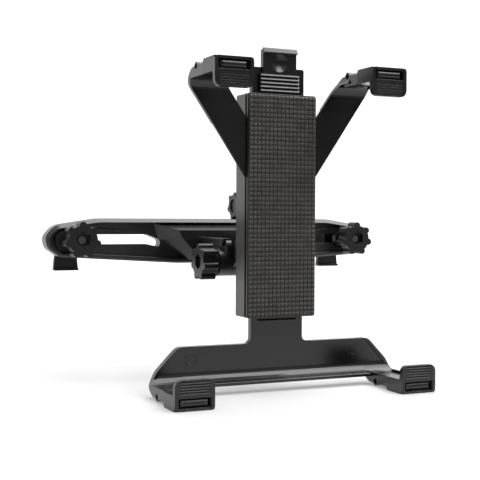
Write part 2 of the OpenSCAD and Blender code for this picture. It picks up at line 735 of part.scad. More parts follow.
// Leaf spring behind the cover: its nose rests in a detent groove
module foot_detent() {
    t = 0.4;
    z = detent_z;
    y0 = cover_y + 0.02;
    crest = stem_y - t - run_gap;
    color("silver") cradle() difference() {
        in_x(-6, 6) polygon(strip([[y0, z + 25], [y0, z + 15], [crest - 1.1, z + 2],
            [crest, z + 0.6], [crest, z - 0.6], [crest - 1.1, z - 2], [crest - 1.8, z - 4]], t));
        translate([0, 0, z + 21]) rod_y(1.1, 0, 20, 24);
    }
}

module detent_screw() {
    color("silver") cradle() translate([0, 0, detent_z + 21]) {
        rod_y(0.9, pad_t + 0.8, cover_y + 1, 24);
        rod_y(2, cover_y + 0.45, cover_y + 1.3, 24);
    }
}

// Claw cap drawn like bent_end: outer face at z = 0, tongue from the back, face at the front.
// The face is at y = 0 and rises to h.
module claw_cap(h) {
    sleeve_h = tongue_t + 2 * sleeve_t + 0.2;
    face_t = 3;
    hole_w = tongue_w + 2 * loose;
    difference() {
        union() {
            in_y(0, face_t) polygon(rounded([[-claw_w / 2, 0, 2], [claw_w / 2, 0, 2],
                [claw_w / 2, h, 4], [-claw_w / 2, h, 4]], 8));
            in_x(-claw_w / 2, claw_w / 2) polygon(rounded([[1, 0, 0], [face_t + sleeve_l, 0, 2.6],
                [face_t + sleeve_l, sleeve_h, 0.8], [face_t, sleeve_h, 1.6], [face_t, h - 4, 0],
                [1, h - 4, 0]]));
        }
        in_y(-1, face_t + sleeve_l + 1) polygon(slab(-hole_w / 2, hole_w / 2, sleeve_t - loose,
            sleeve_t + tongue_t + loose, 0.2));
        in_y(-1, 0.8) polygon(slab(-hole_w / 2 - 0.5, hole_w / 2 + 0.5, sleeve_t - 0.6,
            sleeve_t + tongue_t + 0.6, 1));
        for (i = [0 : 4]) translate([0, 0, sleeve_h + 0.6 + i * 1.5])
            in_x(-8.8, 8.8) polygon([[-0.2, -0.2], [0.5, 0.5], [-0.2, 1.2]]);
    }
}

module upper_claw(s) {
    color("#1c1c1d") cradle() side(s) translate([upper_claw_x, -claw_reach, arm_top + sleeve_t])
        mirror([0, 0, 1]) claw_cap(claw_h);
}

module lower_claw(s) {
    color("#1c1c1d") cradle() side(s) translate([lower_claw_x, -claw_reach, foot_base - sleeve_t])
        claw_cap(claw_h);
}

headrest_bar();
jaw(-1);  // left_jaw
jaw(1);  // right_jaw
hook(-1);  // left_hook
hook(1);  // right_hook
post_pad(-1);  // left_post_pad
post_pad(1);  // right_post_pad
clamp_bolt(-1);  // left_clamp_bolt
clamp_bolt(1);  // right_clamp_bolt
clamp_washer(-1);  // left_clamp_washer
clamp_washer(1);  // right_clamp_washer
clamp_nut(-1);  // left_clamp_nut
clamp_nut(1);  // right_clamp_nut
clamp_knob(-1);  // left_clamp_knob
clamp_knob(1);  // right_clamp_knob
tilt_bracket();
tilt_bolt();
tilt_washer();
tilt_nut();
tilt_knob();
swivel_hub();
swivel_retainer();
swivel_screw();
swivel_lock_screw();
swivel_lock_knob();
hub_screws();
housing_back();
housing_front();
grip_pad();
housing_screws();
arm(-1);  // left_arm
arm(1);  // right_arm
arm_washer(-1);  // left_arm_washer
arm_washer(1);  // right_arm_washer
arm_screw(-1);  // left_arm_screw
arm_screw(1);  // right_arm_screw
foot();
foot_detent();
detent_screw();
upper_claw(-1);  // upper_left_claw
upper_claw(1);  // upper_right_claw
lower_claw(-1);  // lower_left_claw
lower_claw(1);  // lower_right_claw
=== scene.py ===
# %% [markdown]
# # A headrest tablet holder
# The holder clamps to the two posts of a car headrest. A slotted bar carries the clamps, a tilting
# bracket and a swivel carry the padded column, and two arms, a foot and four claws hold the tablet.
#
# The engineering model comes in ready-made: every rigid piece has its true shape and place. This
# lesson gives the pieces their plastics, rubbers and metals, adds the fine relief that is too
# small for the engineering model, and sets up the studio. The model is loaded before all else,
# because everything that follows is measured on it.

# %% Load the fixed frame
import json
import math
import bmesh
import bpy
from mathutils import Matrix, Vector
from mathutils.bvhtree import BVHTree


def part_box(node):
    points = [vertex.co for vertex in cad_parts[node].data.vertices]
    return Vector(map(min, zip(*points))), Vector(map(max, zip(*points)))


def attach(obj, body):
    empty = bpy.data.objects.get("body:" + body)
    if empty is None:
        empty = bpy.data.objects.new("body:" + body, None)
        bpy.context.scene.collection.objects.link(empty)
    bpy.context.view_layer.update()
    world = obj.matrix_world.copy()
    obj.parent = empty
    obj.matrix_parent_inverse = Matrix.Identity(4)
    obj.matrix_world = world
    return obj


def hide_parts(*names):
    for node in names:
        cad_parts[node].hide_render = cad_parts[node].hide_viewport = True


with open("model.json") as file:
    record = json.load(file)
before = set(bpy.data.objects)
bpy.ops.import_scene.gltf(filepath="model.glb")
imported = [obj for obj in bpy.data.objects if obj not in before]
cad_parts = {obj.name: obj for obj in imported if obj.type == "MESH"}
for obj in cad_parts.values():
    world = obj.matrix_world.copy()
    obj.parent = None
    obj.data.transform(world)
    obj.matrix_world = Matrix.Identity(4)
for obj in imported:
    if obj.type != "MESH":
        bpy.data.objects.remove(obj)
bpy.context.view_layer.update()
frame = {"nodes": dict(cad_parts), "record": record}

NODES = frame["nodes"]
print("nodes", len(NODES))

# %% [markdown]
# Sizes on such an object are thought of in millimetres, while Blender counts in metres. The unit
# scale of the scene could be changed, but the engineering model is in metres too, so one constant
# that turns millimetres into metres is simpler.
#
# Colours are picked as sRGB hex values, as a colour card gives them. Shaders work with linear
# light, in which a dark plastic is far darker still, so one function converts them.

# %% Units and colours
MM = 0.001


def linear(hex_colour):
    """Linear RGBA of an sRGB hex value such as 1c1c1e."""
    parts = [int(hex_colour[i:i + 2], 16) / 255 for i in (0, 2, 4)]
    return [c / 12.92 if c <= 0.04045 else ((c + 0.055) / 1.055) ** 2.4 for c in parts] + [1.0]


print("the column's dark grey 181819 in linear light", [round(c, 4) for c in linear("181819")])

# %% [markdown]
# A procedural material is a small graph of nodes. It can be laid out by hand in the shader editor,
# but in code it can be read, repeated and changed in one place. One function adds a node, sets its
# values and plugs in what feeds it, so each material below reads from top to bottom.

# %% The one helper for shader graphs


def node(tree, kind, values=None, feeds=None):
    """Add a node, set its sockets or properties, and link what feeds its inputs."""
    made = tree.nodes.new("ShaderNode" + kind)
    for key, value in (values or {}).items():
        if isinstance(key, int) or key in made.inputs:
            made.inputs[key].default_value = value
        else:
            setattr(made, key, value)
    for key, source in (feeds or {}).items():
        tree.links.new(source, made.inputs[key])
    return made


def empty_graph(owner):
    """Switch a material or a world to nodes and clear its graph."""
    owner.use_nodes = True
    owner.node_tree.nodes.clear()
    return owner.node_tree


print("node:", node.__doc__)

# %% [markdown]
# Nearly every visible piece is injection-moulded. The steel mould is spark-eroded or polished, and
# the plastic copies it: a spark-eroded mould leaves an even grain that scatters the light, a
# polished one leaves soft mirror streaks.
#
# A scanned texture could give that skin, but it would have to be unwrapped for each piece. Noise
# in the object's own space needs no unwrapping and has a true scale in millimetres. A slow noise
# stands for the flow of the plastic in the mould and shifts tint and gloss a little. A fine noise
# is the grain. Real grain is about 0.05 mm wide and a pixel of the picture about 0.7 mm, so the
# grain is drawn some ten times coarser than it is, or it wouldn't show.
#
# A moulding has no knife edge either. Rounding every mesh would cost a great many faces, so the
# normals alone are rounded, and each edge catches the thin light line that shows how the piece
# is built.

# %% Moulded plastic and rubber
BUMP_DEPTH = 0.1 * MM


def moulded(name, dark, light, cloud_mm, roughness, spread, grain_mm, grain, edge_mm, ior):
    """A moulded skin: clouded tint, uneven gloss, a grain and softened edges."""
    skin = bpy.data.materials.new(name)
    tree = empty_graph(skin)
    place = node(tree, "TexCoord").outputs["Object"]
    cloud = node(tree, "TexNoise", {"Scale": 1 / (cloud_mm * MM), "Detail": 3.0}, {"Vector": place})
    tint = node(tree, "ValToRGB", feeds={"Fac": cloud.outputs["Fac"]})
    # Noise seldom leaves the middle of its range, so the tints stand at 0.35 and 0.68, not 0 and 1.
    for stop, (position, colour) in zip(tint.color_ramp.elements, ((0.35, dark), (0.68, light))):
        stop.position = position
        stop.color = linear(colour)
    gloss = node(tree, "MapRange", {"To Min": roughness - spread, "To Max": roughness + spread},
                 {"Value": cloud.outputs["Fac"]})
    fine = node(tree, "TexNoise", {"Scale": 1 / (grain_mm * MM), "Detail": 2.0}, {"Vector": place})
    rounded = node(tree, "Bevel", {"samples": 4, "Radius": edge_mm * MM})
    relief = node(tree, "Bump", {"Strength": grain, "Distance": BUMP_DEPTH},
                  {"Height": fine.outputs["Fac"], "Normal": rounded.outputs["Normal"]})
    shade = node(tree, "BsdfPrincipled", {"IOR": ior},
                 {"Base Color": tint.outputs["Color"], "Roughness": gloss.outputs["Result"],
                  "Normal": relief.outputs["Normal"]})
    node(tree, "OutputMaterial", feeds={"Surface": shade.outputs["BSDF"]})
    return skin


# ABS from a spark-eroded mould, for the column, the bracket and the swivel: a dark grey with an
# even satin sheen that shows the form without a sharp highlight.
SATIN_ABS = moulded("satin_abs", dark="101011", light="181819", cloud_mm=14, roughness=0.36,
                    spread=0.05, grain_mm=0.5, grain=0.2, edge_mm=0.5, ior=1.53)
print(SATIN_ABS.name, "grain 0.5 mm, nodes", len(SATIN_ABS.node_tree.nodes))

# %% [markdown]
# The bar, the arms and the foot are of the same plastic in two other skins. The long front of the
# bar is a touch glossier than the column. The arms and the foot come from a polished mould and
# are the blackest pieces, because a smooth skin sends nearly all light to one side. They could
# share one material, but the difference in gloss is what tells them apart in the picture.

# %% The bar's skin and the polished skin
# ABS, finely spark-eroded: its flat faces are dark and its slopes light up evenly.
BAR_ABS = moulded("bar_abs", dark="131314", light="1b1b1c", cloud_mm=14, roughness=0.32,
                  spread=0.04, grain_mm=0.5, grain=0.15, edge_mm=0.5, ior=1.53)
# ABS from a hand-polished mould: nearly black, with soft streaks. Polishing leaves a faint wave
# a few millimetres long instead of grain, and the edges stay crisp.
POLISHED_ABS = moulded("polished_abs", dark="070708", light="0c0c0d", cloud_mm=22, roughness=0.22,
                       spread=0.04, grain_mm=2.5, grain=0.05, edge_mm=0.12, ior=1.53)
print("skins", BAR_ABS.name, POLISHED_ABS.name)

# %% [markdown]
# The jaws and hooks are polypropylene and the knobs are nylon, both from coarse moulds. The
# typical refractive indices are 1.49 and 1.53. They are set lower here, as the small pits of a
# coarse skin shade themselves and the real pieces look duller than their plastic alone would. One
# black for both would be simpler, but a jaw looks rougher than the knob beside it, and its black
# is painted a little darker as painted shade, for the shade of the bar above it.

# %% Jaws and knobs
# Polypropylene with a coarse matt grain: it stays dark from all sides. Its black is painted a
# little darker as painted shade, for the shade of the bar above the jaws.
MATT_PAINTED_SHADE_POLYPROPYLENE = moulded("matt_painted_shade_polypropylene", dark="070708", light="0d0d0e", cloud_mm=8,
                             roughness=0.46, spread=0.06, grain_mm=0.4, grain=0.35, edge_mm=0.4,
                             ior=1.42)
# Nylon from a coarse mould: dull fronts, and a soft sheen on the lobes.
KNOB_NYLON = moulded("knob_nylon", dark="080809", light="0e0e0f", cloud_mm=9, roughness=0.4,
                     spread=0.05, grain_mm=0.6, grain=0.25, edge_mm=0.5, ior=1.43)
print("skins", MATT_PAINTED_SHADE_POLYPROPYLENE.name, KNOB_NYLON.name)

# %% [markdown]
# What touches the tablet or the posts is rubbery. The mat on the column and the pads in the hooks
# are plain rubber, a warm dark grey with hardly any gloss. The claws are a thermoplastic
# elastomer, smooth and a little glossy, so that their ribs read as fine light lines. Giving all
# of them one rubber would be quicker, but the mat would lose its dusty look beside the claws.

# %% Rubbers
# Compression-moulded rubber: warm grey and dull, with a dusty look.
PAD_RUBBER = moulded("pad_rubber", dark="1c1a19", light="262422", cloud_mm=9, roughness=0.6,
                     spread=0.05, grain_mm=0.5, grain=0.3, edge_mm=0.3, ior=1.52)
# The same rubber on the studs, painted paler than the grooves: a painted highlight for the light
# their tops catch.
STUD_PAINTED_HIGHLIGHT_RUBBER = moulded("stud_painted_highlight_rubber", dark="312f2c", light="403d3a", cloud_mm=6, roughness=0.52,
                      spread=0.08, grain_mm=0.5, grain=0.3, edge_mm=0.1, ior=1.52)
# Moulded elastomer from a smooth mould: black with clear edges.
CLAW_ELASTOMER = moulded("claw_elastomer", dark="0a0a0b", light="121213", cloud_mm=12,
                         roughness=0.27, spread=0.05, grain_mm=0.6, grain=0.1, edge_mm=0.2,
                         ior=1.51)
print("skins", PAD_RUBBER.name, STUD_PAINTED_HIGHLIGHT_RUBBER.name, CLAW_ELASTOMER.name)

# %% [markdown]
# The bolts, screws, washers and the small spring of the foot are steel, dulled by a dark zinc
# plating. The nuts in the knobs are painted near black as painted shade, the shade deep in their
# recess, which is why the recess looks so deep.
# Steel is a metal: its colour is in its reflection, and its refractive index is left alone.
# Tumbling with other screws leaves fine scuffs, a tenth of a millimetre wide. They could be a
# scratch texture, but a distorted noise is enough at this size. It is drawn 1.2 mm wide, as finer
# scuffs wouldn't show.

# %% Plated steels
SCUFF = 1.2 * MM


def plated(name, dark, light, smooth, rough):
    """A plated steel: its tint and its gloss both vary along the scuffs."""
    skin = bpy.data.materials.new(name)
    tree = empty_graph(skin)
    place = node(tree, "TexCoord").outputs["Object"]
    scuffs = node(tree, "TexNoise", {"Scale": 1 / SCUFF, "Detail": 5.0, "Distortion": 1.5},
                  {"Vector": place})
    tint = node(tree, "ValToRGB", feeds={"Fac": scuffs.outputs["Fac"]})
    for stop, colour in zip(tint.color_ramp.elements, (dark, light)):
        stop.color = linear(colour)
    gloss = node(tree, "MapRange", {"To Min": smooth, "To Max": rough},
                 {"Value": scuffs.outputs["Fac"]})
    rounded = node(tree, "Bevel", {"samples": 4, "Radius": 0.2 * MM})
    shade = node(tree, "BsdfPrincipled", {"Metallic": 1.0},
                 {"Base Color": tint.outputs["Color"], "Roughness": gloss.outputs["Result"],
                  "Normal": rounded.outputs["Normal"]})
    node(tree, "OutputMaterial", feeds={"Surface": shade.outputs["BSDF"]})
    return skin


# Dull zinc plating: a soft grey gleam on screw heads and bolt ends.
ZINC_PLATED_STEEL = plated("zinc_plated_steel", dark="3f3e3c", light="6e6d6a", smooth=0.25,
                           rough=0.45)
# Steel painted near black as painted shade for the recesses of the knobs: almost no gleam, only
# a dark edge.
PAINTED_SHADE_STEEL = plated("painted_shade_steel", dark="1b1b1c", light="343436", smooth=0.35, rough=0.55)
print("steels", ZINC_PLATED_STEEL.name, PAINTED_SHADE_STEEL.name)

# %% [markdown]
# The record names a finish for each piece. One table turns those names into skins, and a second
# table holds the few pieces whose skin differs from the others of the same finish: the bar, the
# knobs and the nuts inside them. Assigning by hand in the viewport would do too, but it would
# have to be done again each time the model changes.

# %% Dress the pieces
SKIN_OF_SLOT = {"satin_plastic": SATIN_ABS, "gloss_plastic": POLISHED_ABS,
                "matt_plastic": MATT_PAINTED_SHADE_POLYPROPYLENE, "pad_rubber": PAD_RUBBER,
                "claw_rubber": CLAW_ELASTOMER, "dark_steel": ZINC_PLATED_STEEL}
SKIN_OF_NODE = {"headrest_bar": BAR_ABS, "left_clamp_knob": KNOB_NYLON,
                "right_clamp_knob": KNOB_NYLON, "tilt_knob": KNOB_NYLON,
                "swivel_lock_knob": KNOB_NYLON, "left_clamp_nut": PAINTED_SHADE_STEEL,
                "right_clamp_nut": PAINTED_SHADE_STEEL, "tilt_nut": PAINTED_SHADE_STEEL}
for part in frame["record"]["subparts"]:
    mesh = NODES[part["node"]].data
    mesh.materials.clear()
    mesh.materials.append(SKIN_OF_NODE.get(part["node"], SKIN_OF_SLOT[part["material_slot"]]))

# %% [markdown]
# Six pieces have a detail that the engineering model leaves plain: the bar has a sloping rim,
# three knobs have wide recesses, and two sets of screws have crosses in their heads. They could
# be modelled again from nothing, but then they might not fit their neighbours. It is safer to
# copy the piece and cut the detail out of the copy, as a milling cutter would, with a closed mesh
# and a Boolean modifier.
#
# After the cut, every face is smooth-shaded, and edges sharper than 28 degrees are marked sharp.
# Round walls then stay round and corners stay corners.

# %% Trimming a copy of a piece
SAME_POINT = 0.001 * MM
SHARP_ANGLE = math.radians(28)


def closed_shape(name, verts, faces):
    """An object from points and faces, with all its faces turned outwards."""
    mesh = bpy.data.meshes.new(name)
    mesh.from_pydata(verts, [], faces)
    shape = bmesh.new()
    shape.from_mesh(mesh)
    bmesh.ops.recalc_face_normals(shape, faces=shape.faces)
    shape.to_mesh(mesh)
    shape.free()
    made = bpy.data.objects.new(name, mesh)
    bpy.context.collection.objects.link(made)
    return made


def welded_copy(source):
    """A copy of a node's mesh with its doubled points merged and no stored normals."""
    mesh = NODES[source].data.copy()
    shape = bmesh.new()
    shape.from_mesh(mesh)
    bmesh.ops.remove_doubles(shape, verts=shape.verts, dist=SAME_POINT)
    shape.to_mesh(mesh)
    shape.free()
    for fixed in [a for a in mesh.attributes if a.name in ("custom_normal", "sharp_edge")]:
        mesh.attributes.remove(fixed)
    return mesh


def trim(source, name, cutters, body, slot):
    """Copy a node's piece, cut it with closed shapes, and let it stand for the node."""
    piece = bpy.data.objects.new(name, welded_copy(source))
    bpy.context.collection.objects.link(piece)
    for cutter in cutters:
        cut = piece.modifiers.new(cutter.name, "BOOLEAN")
        cut.operation, cut.solver, cut.object = "DIFFERENCE", "EXACT", cutter
    graph = bpy.context.evaluated_depsgraph_get()
    mesh = bpy.data.meshes.new_from_object(piece.evaluated_get(graph))
    piece.modifiers.clear()
    piece.data = mesh
    for cutter in cutters:
        bpy.data.objects.remove(cutter)
    for face in mesh.polygons:
        face.use_smooth = True
    mesh.set_sharp_from_angle(angle=SHARP_ANGLE)
    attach(piece, body)
    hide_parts(source)
    return piece


print("trim:", trim.__doc__)

# %% [markdown]
# The rim round the bar is cut away at 45 degrees at its front, and that slope mirrors the light
# above as one long pale band. The slope is wider above than below, and so is the band.
#
# A Bevel modifier would need the right edges picked out of a few hundred. The outline of the
# bar's front can be measured instead: all points on the front plane, and round them the tightest
# loop that bulges everywhere, as a rubber band would lie.

# %% The outline of the bar's front
BAR_FRONT_Y = -12 * MM
ON_PLANE = 0.01 * MM


def rubber_band(points):
    """The outline round sorted (x, z) points that bulges everywhere."""
    outline = []
    for run in (points, points[::-1]):
        side = []
        for x, z in run:
            while len(side) > 1:
                (xa, za), (xb, zb) = side[-2:]
                if (xb - xa) * (z - za) - (zb - za) * (x - xa) > 0:
                    break
                side.pop()
            side.append((x, z))
        outline += side[:-1]
    return outline


bar_outline = rubber_band(sorted({(round(v.co.x, 6), round(v.co.z, 6))
                                  for v in NODES["headrest_bar"].data.vertices
                                  if abs(v.co.y - BAR_FRONT_Y) < ON_PLANE}))
print("the bar's outline has", len(bar_outline), "points")

# %% [markdown]
# The cutter is a closed ring of triangular section that follows the outline. Each point of the
# outline gives three corners, found by stepping along the direction that leads straight out of
# the bar. A curve with a triangular bevel would draw such a ring too, but it would twist in the
# corners. The corners outside the bar stand clear of it, since two faces in one plane would
# confuse the cut.

# %% The sloping rim of the bar
# The slope is 1.2 mm wide below and 2.6 mm above. It grows over the middle 8 mm of the height.
RIM_NARROW, RIM_GAIN, RIM_RISE = 1.2, 1.4, 8
PAST_FRONT, PAST_EDGE = 0.3 * MM, 0.6 * MM


def closed_ring(loops, first=0):
    """Points and faces of a ring made of equally long closed loops; first is the first index."""
    count, around = len(loops[0]), len(loops)
    verts = [point for loop in loops for point in loop]
    faces = [(first + j * count + i, first + j * count + (i + 1) % count,
              first + (j + 1) % around * count + (i + 1) % count,
              first + (j + 1) % around * count + i) for j in range(around) for i in range(count)]
    return verts, faces


corner_loops = [[], [], []]
for i, (x, z) in enumerate(bar_outline):
    (xa, za), (xb, zb) = bar_outline[i - 1], bar_outline[(i + 1) % len(bar_outline)]
    out = Vector((zb - za, xa - xb)).normalized()
    wide = (RIM_NARROW + RIM_GAIN * min(1, max(0, z / MM / RIM_RISE + 0.5))) * MM
    corners = ((-wide - PAST_FRONT, BAR_FRONT_Y - PAST_FRONT),
               (PAST_EDGE, BAR_FRONT_Y + wide + PAST_EDGE),
               (PAST_EDGE, BAR_FRONT_Y - PAST_FRONT))
    for loop, (outwards, y) in zip(corner_loops, corners):
        loop.append((x + out.x * outwards, y, z + out.y * outwards))
rim_cutter = closed_shape("slope", *closed_ring(corner_loops))
rimmed_bar = trim("headrest_bar", "rimmed_bar", [rim_cutter], "bar", "satin_plastic")
print(rimmed_bar.name, "faces", len(rimmed_bar.data.polygons))

# %% [markdown]
# Each star knob has a wide six-sided recess in front, where its nut sits. The knob could be
# modelled again with it, but its lobes would have to be matched, and one prism cuts the recess.
# The nut, painted near black as painted shade, and the end of the bolt at the bottom of it stay as
# they are. The two clamp knobs face forwards, along Y, and the tilt knob faces left, along X.

# %% Wider recesses in the knobs
RECESS_SHARE = 0.225
RECESS_DEEP = 2.6 * MM
CUT_CLEAR = 1 * MM


def prism(name, outline, centre, axis, start, end):
    """A closed prism along X (axis 0) or Y (axis 1), its (u, v) outline lying round centre."""
    verts = []
    for depth in (start, end):
        for u, v in outline:
            point = [centre[0], centre[1], centre[2] + v]
            point[1 - axis] += u
            point[axis] = depth
            verts.append(point)
    count = len(outline)
    faces = [(i, (i + 1) % count, count + (i + 1) % count, count + i) for i in range(count)]
    faces += [tuple(range(count - 1, -1, -1)), tuple(range(count, 2 * count))]
    return closed_shape(name, verts, faces)


for source, axis in (("left_clamp_knob", 1), ("right_clamp_knob", 1), ("tilt_knob", 0)):
    low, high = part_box(source)
    radius = (high.z - low.z) * RECESS_SHARE
    hexagon = [(radius * math.cos(a), radius * math.sin(a))
               for a in [math.pi / 6 * (2 * k + 1) for k in range(6)]]
    recess = prism("recess", hexagon, (low + high) / 2, axis,
                   low[axis] - CUT_CLEAR, low[axis] + RECESS_DEEP)
    body = next(b for b, names in frame["record"]["behaviour"]["bodies"].items() if source in names)
    knob = trim(source, source + "_finished", [recess], body, "matt_plastic")
    print(knob.name, "rides on", body, "recess", round(2 * radius / MM, 1), "mm over its corners")

# %% [markdown]
# Small screws hold the back of the column and the flange of the swivel. Each head has a cross
# recess for the screwdriver. The heads stand in groups inside one node, so their centres are
# found by gathering the points on the rearmost plane that lie near each other. Typing the
# centres in would be shorter, but would go wrong if the model changed.

# %% Where the screw heads are
HEAD_SPAN = 5 * MM


def head_centres(source):
    """Centres (x, z) of a node's round ends on its rearmost plane, and that plane's y."""
    points = [v.co for v in NODES[source].data.vertices]
    back_y = max(point.y for point in points)
    heads = []
    for point in (p for p in points if p.y > back_y - ON_PLANE):
        same = next((head for head in heads if (head[0] - point).length < HEAD_SPAN), None)
        if same:
            same.append(point)
        else:
            heads.append([point])
    centres = [((min(p.x for p in head) + max(p.x for p in head)) / 2,
                (min(p.z for p in head) + max(p.z for p in head)) / 2) for head in heads]
    return centres, back_y


print("heads", {name: len(head_centres(name)[0]) for name in ("housing_screws", "hub_screws")})

# %% [markdown]
# A real cross recess tapers to a point. At this size a straight punch with a plus for its outline
# looks the same, and it reuses the prism of the knobs. The screws of the column are larger than
# those of the swivel, so each kind has its own sizes: how far an arm of the plus reaches, half
# its width, and its depth.

# %% Cross recesses in the screw heads
CROSSES = {"housing_screws": (1.35 * MM, 0.36 * MM, 0.7 * MM),
           "hub_screws": (0.8 * MM, 0.24 * MM, 0.5 * MM)}
for source, (reach, half, deep) in CROSSES.items():
    plus = [(half, reach), (-half, reach), (-half, half), (-reach, half), (-reach, -half),
            (-half, -half), (-half, -reach), (half, -reach), (half, -half), (reach, -half),
            (reach, half), (half, half)]
    centres, back_y = head_centres(source)
    punches = [prism("plus", plus, (x, back_y, z), 1, back_y - deep, back_y + CUT_CLEAR)
               for x, z in centres]
    screws = trim(source, source + "_finished", punches, "column", "dark_steel")
    print(screws.name, "heads", len(centres), "faces", len(screws.data.polygons))

# %% [markdown]
# Three kinds of relief are too fine for the engineering model, but they draw bright lines: grip
# ribs on the band above the column, a bead above each slot of the bar, and the faint rings that
# ejector pins left in the foot. A bump map could fake them, but its lines would have no edge
# against the light, and an exported mesh would lose them. So they are real, thin meshes. Each
# lies on the surface under it, which a ray shot from the front finds.

# %% Finding a surface and laying relief on it
RAY_START_Y = -0.4


def surface_y(source, x, z):
    """Y of the front of a node's piece at x and z, all in metres."""
    mesh = NODES[source].data
    tree = BVHTree.FromPolygons([v.co for v in mesh.vertices], [f.vertices for f in mesh.polygons])
    return tree.ray_cast(Vector((x, RAY_START_Y, z)), Vector((0, 1, 0)))[0].y


def relief(name, verts, faces, body, slot, skin):
    """A relief piece from its points and faces, on its body and in its finish."""
    piece = closed_shape(name, verts, faces)
    piece.data.materials.append(skin)
    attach(piece, body)
    return piece


print("front of the foot's plate at y", round(surface_y("foot", 0, -70 * MM) / MM, 2), "mm")

# %% [markdown]
# The band above the column has five ribs to pull it by. A rib is steep below and slopes away
# above, as its mould needs to let go of it, and that slope mirrors the light from the front and
# above. A plain half-round rib would show a weaker line, as it mirrors little of that light.

# %% Grip ribs on the band
RIBS = 5
RIB_PITCH = 2.3 * MM
RIB_HALF_LONG = 13 * MM
TOP_RIB_Z = 99.78 * MM
BAND_Z = 99.9 * MM
SUNK = 0.1 * MM
RIDGE_RISE = 0.1 * MM


def strip(verts, faces, start, end, y, high, proud):
    """Add a straight ridge from start to end, both (x, z): steep below, sloping away above."""
    first = len(verts)
    for x, z in (start, end):
        verts += [(x, y + SUNK, z), (x, y - proud, z + RIDGE_RISE), (x, y + SUNK, z + high)]
    faces += [(first, first + 3, first + 4, first + 1),
              (first + 1, first + 4, first + 5, first + 2),
              (first + 2, first + 5, first + 3, first),
              (first, first + 1, first + 2), (first + 3, first + 5, first + 4)]


verts, faces = [], []
band_y = surface_y("foot", 0, BAND_Z)
for i in range(RIBS):
    z = TOP_RIB_Z - i * RIB_PITCH
    strip(verts, faces, (-RIB_HALF_LONG, z), (RIB_HALF_LONG, z), band_y, high=1.1 * MM,
          proud=0.5 * MM)
relief("band_ribs", verts, faces, "foot_body", "gloss_plastic", POLISHED_ABS)
print("band ribs", RIBS, "at y", round(band_y / MM, 2), "mm")

# %% [markdown]
# A moulded bead runs above each slot of the bar and stiffens its edge. It lies a little askew: it
# comes down towards the middle of the bar. It has the same section as the ribs, so the same
# function draws it, once for each side.

# %% Beads above the slots
BEAD_OUTER, BEAD_MIDDLE, BEAD_INNER = ((98 * MM, 6.4 * MM), (84 * MM, 5.8 * MM),
                                       (70 * MM, 4.3 * MM))
verts, faces = [], []
for side in (-1, 1):
    outer, middle, inner = ((side * x, z) for x, z in (BEAD_OUTER, BEAD_MIDDLE, BEAD_INNER))
    tray_y = surface_y("headrest_bar", *middle)
    strip(verts, faces, outer, inner, tray_y, high=1.6 * MM, proud=1.0 * MM)
relief("slot_beads", verts, faces, "bar", "satin_plastic", BAR_ABS)
print("slot beads at y", round(tray_y / MM, 2), "mm")

# %% [markdown]
# Pins push the warm foot out of its mould, and each leaves a shallow ring. A ring is turned from
# a flat section, four points of radius and height, like a washer with sloping sides. A torus
# would be quicker to add, but its round section would catch too bright a line. The ring stands
# only a tenth of a millimetre out of the plate, just enough to break the reflection there.

# %% Ejector marks in the foot
AROUND = 32
MARKS = ((-56.5, -70.2), (53.5, -69.0))
RING_SECTION = ((3.2, 0.02), (3.4, -0.1), (3.7, -0.1), (3.9, 0.02))
angles = [2 * math.pi * k / AROUND for k in range(AROUND)]
verts, faces = [], []
for x, z in MARKS:
    plate_y = surface_y("foot", x * MM, z * MM)
    loops = [[((x + radius * math.cos(a)) * MM, plate_y + y * MM, (z + radius * math.sin(a)) * MM)
              for a in angles] for radius, y in RING_SECTION]
    ring_verts, ring_faces = closed_ring(loops, first=len(verts))
    verts += ring_verts
    faces += ring_faces
relief("ejector_marks", verts, faces, "foot_body", "gloss_plastic", POLISHED_ABS)
print("ejector marks", len(MARKS), "faces", len(faces))

# %% [markdown]
# The front of the column is covered by a rubber mat with rows of small studs, which the eye reads
# as a grip mat. An array modifier on one stud would do, but the number of rows and columns has to
# fit the mat exactly, so the pitch is worked out from the mat's own size. Each stud is a low
# pyramid without its tip. On such a mat the studs are about a third of a millimetre high. Here
# they are 0.7 mm high, because lower ones cast too little shade between them to show.

# %% Studs on the grip pad
STUD_HALF_X, STUD_HALF_Z = 1.2 * MM, 1.15 * MM
STUD_HIGH = 0.7 * MM
STUD_SUNK = 0.05 * MM
TOP_SHARE_X, TOP_SHARE_Z = 0.8, 0.45
ABOUT_APART_X, ABOUT_APART_Z = 2.64 * MM, 2.81 * MM
BARE_EDGE_X, BARE_EDGE_Z = 0.3 * MM, 0.6 * MM
CORNERS = ((-1, -1), (1, -1), (1, 1), (-1, 1))
low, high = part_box("grip_pad")
middle = (low + high) / 2
columns = round((high.x - low.x) / ABOUT_APART_X)
rows = round((high.z - low.z) / ABOUT_APART_Z)
pitch_x = (high.x - low.x - BARE_EDGE_X) / columns
pitch_z = (high.z - low.z - BARE_EDGE_Z) / rows
STUD_RINGS = ((STUD_HALF_X, STUD_HALF_Z, STUD_SUNK),
              (STUD_HALF_X * TOP_SHARE_X, STUD_HALF_Z * TOP_SHARE_Z, -STUD_HIGH))
studs = bmesh.new()
for i in range(columns):
    for k in range(rows):
        x = middle.x + (i - (columns - 1) / 2) * pitch_x
        z = middle.z + (k - (rows - 1) / 2) * pitch_z
        foot_ring, top_ring = [[studs.verts.new((x + sx * half_x, low.y + y, z + sz * half_z))
                                for sx, sz in CORNERS] for half_x, half_z, y in STUD_RINGS]
        for a in range(4):
            b = (a + 1) % 4
            studs.faces.new((foot_ring[a], foot_ring[b], top_ring[b], top_ring[a]))
        studs.faces.new(top_ring)
print("studs", columns, "by", rows)
print("pitch", round(pitch_x / MM, 2), "by", round(pitch_z / MM, 2), "mm")

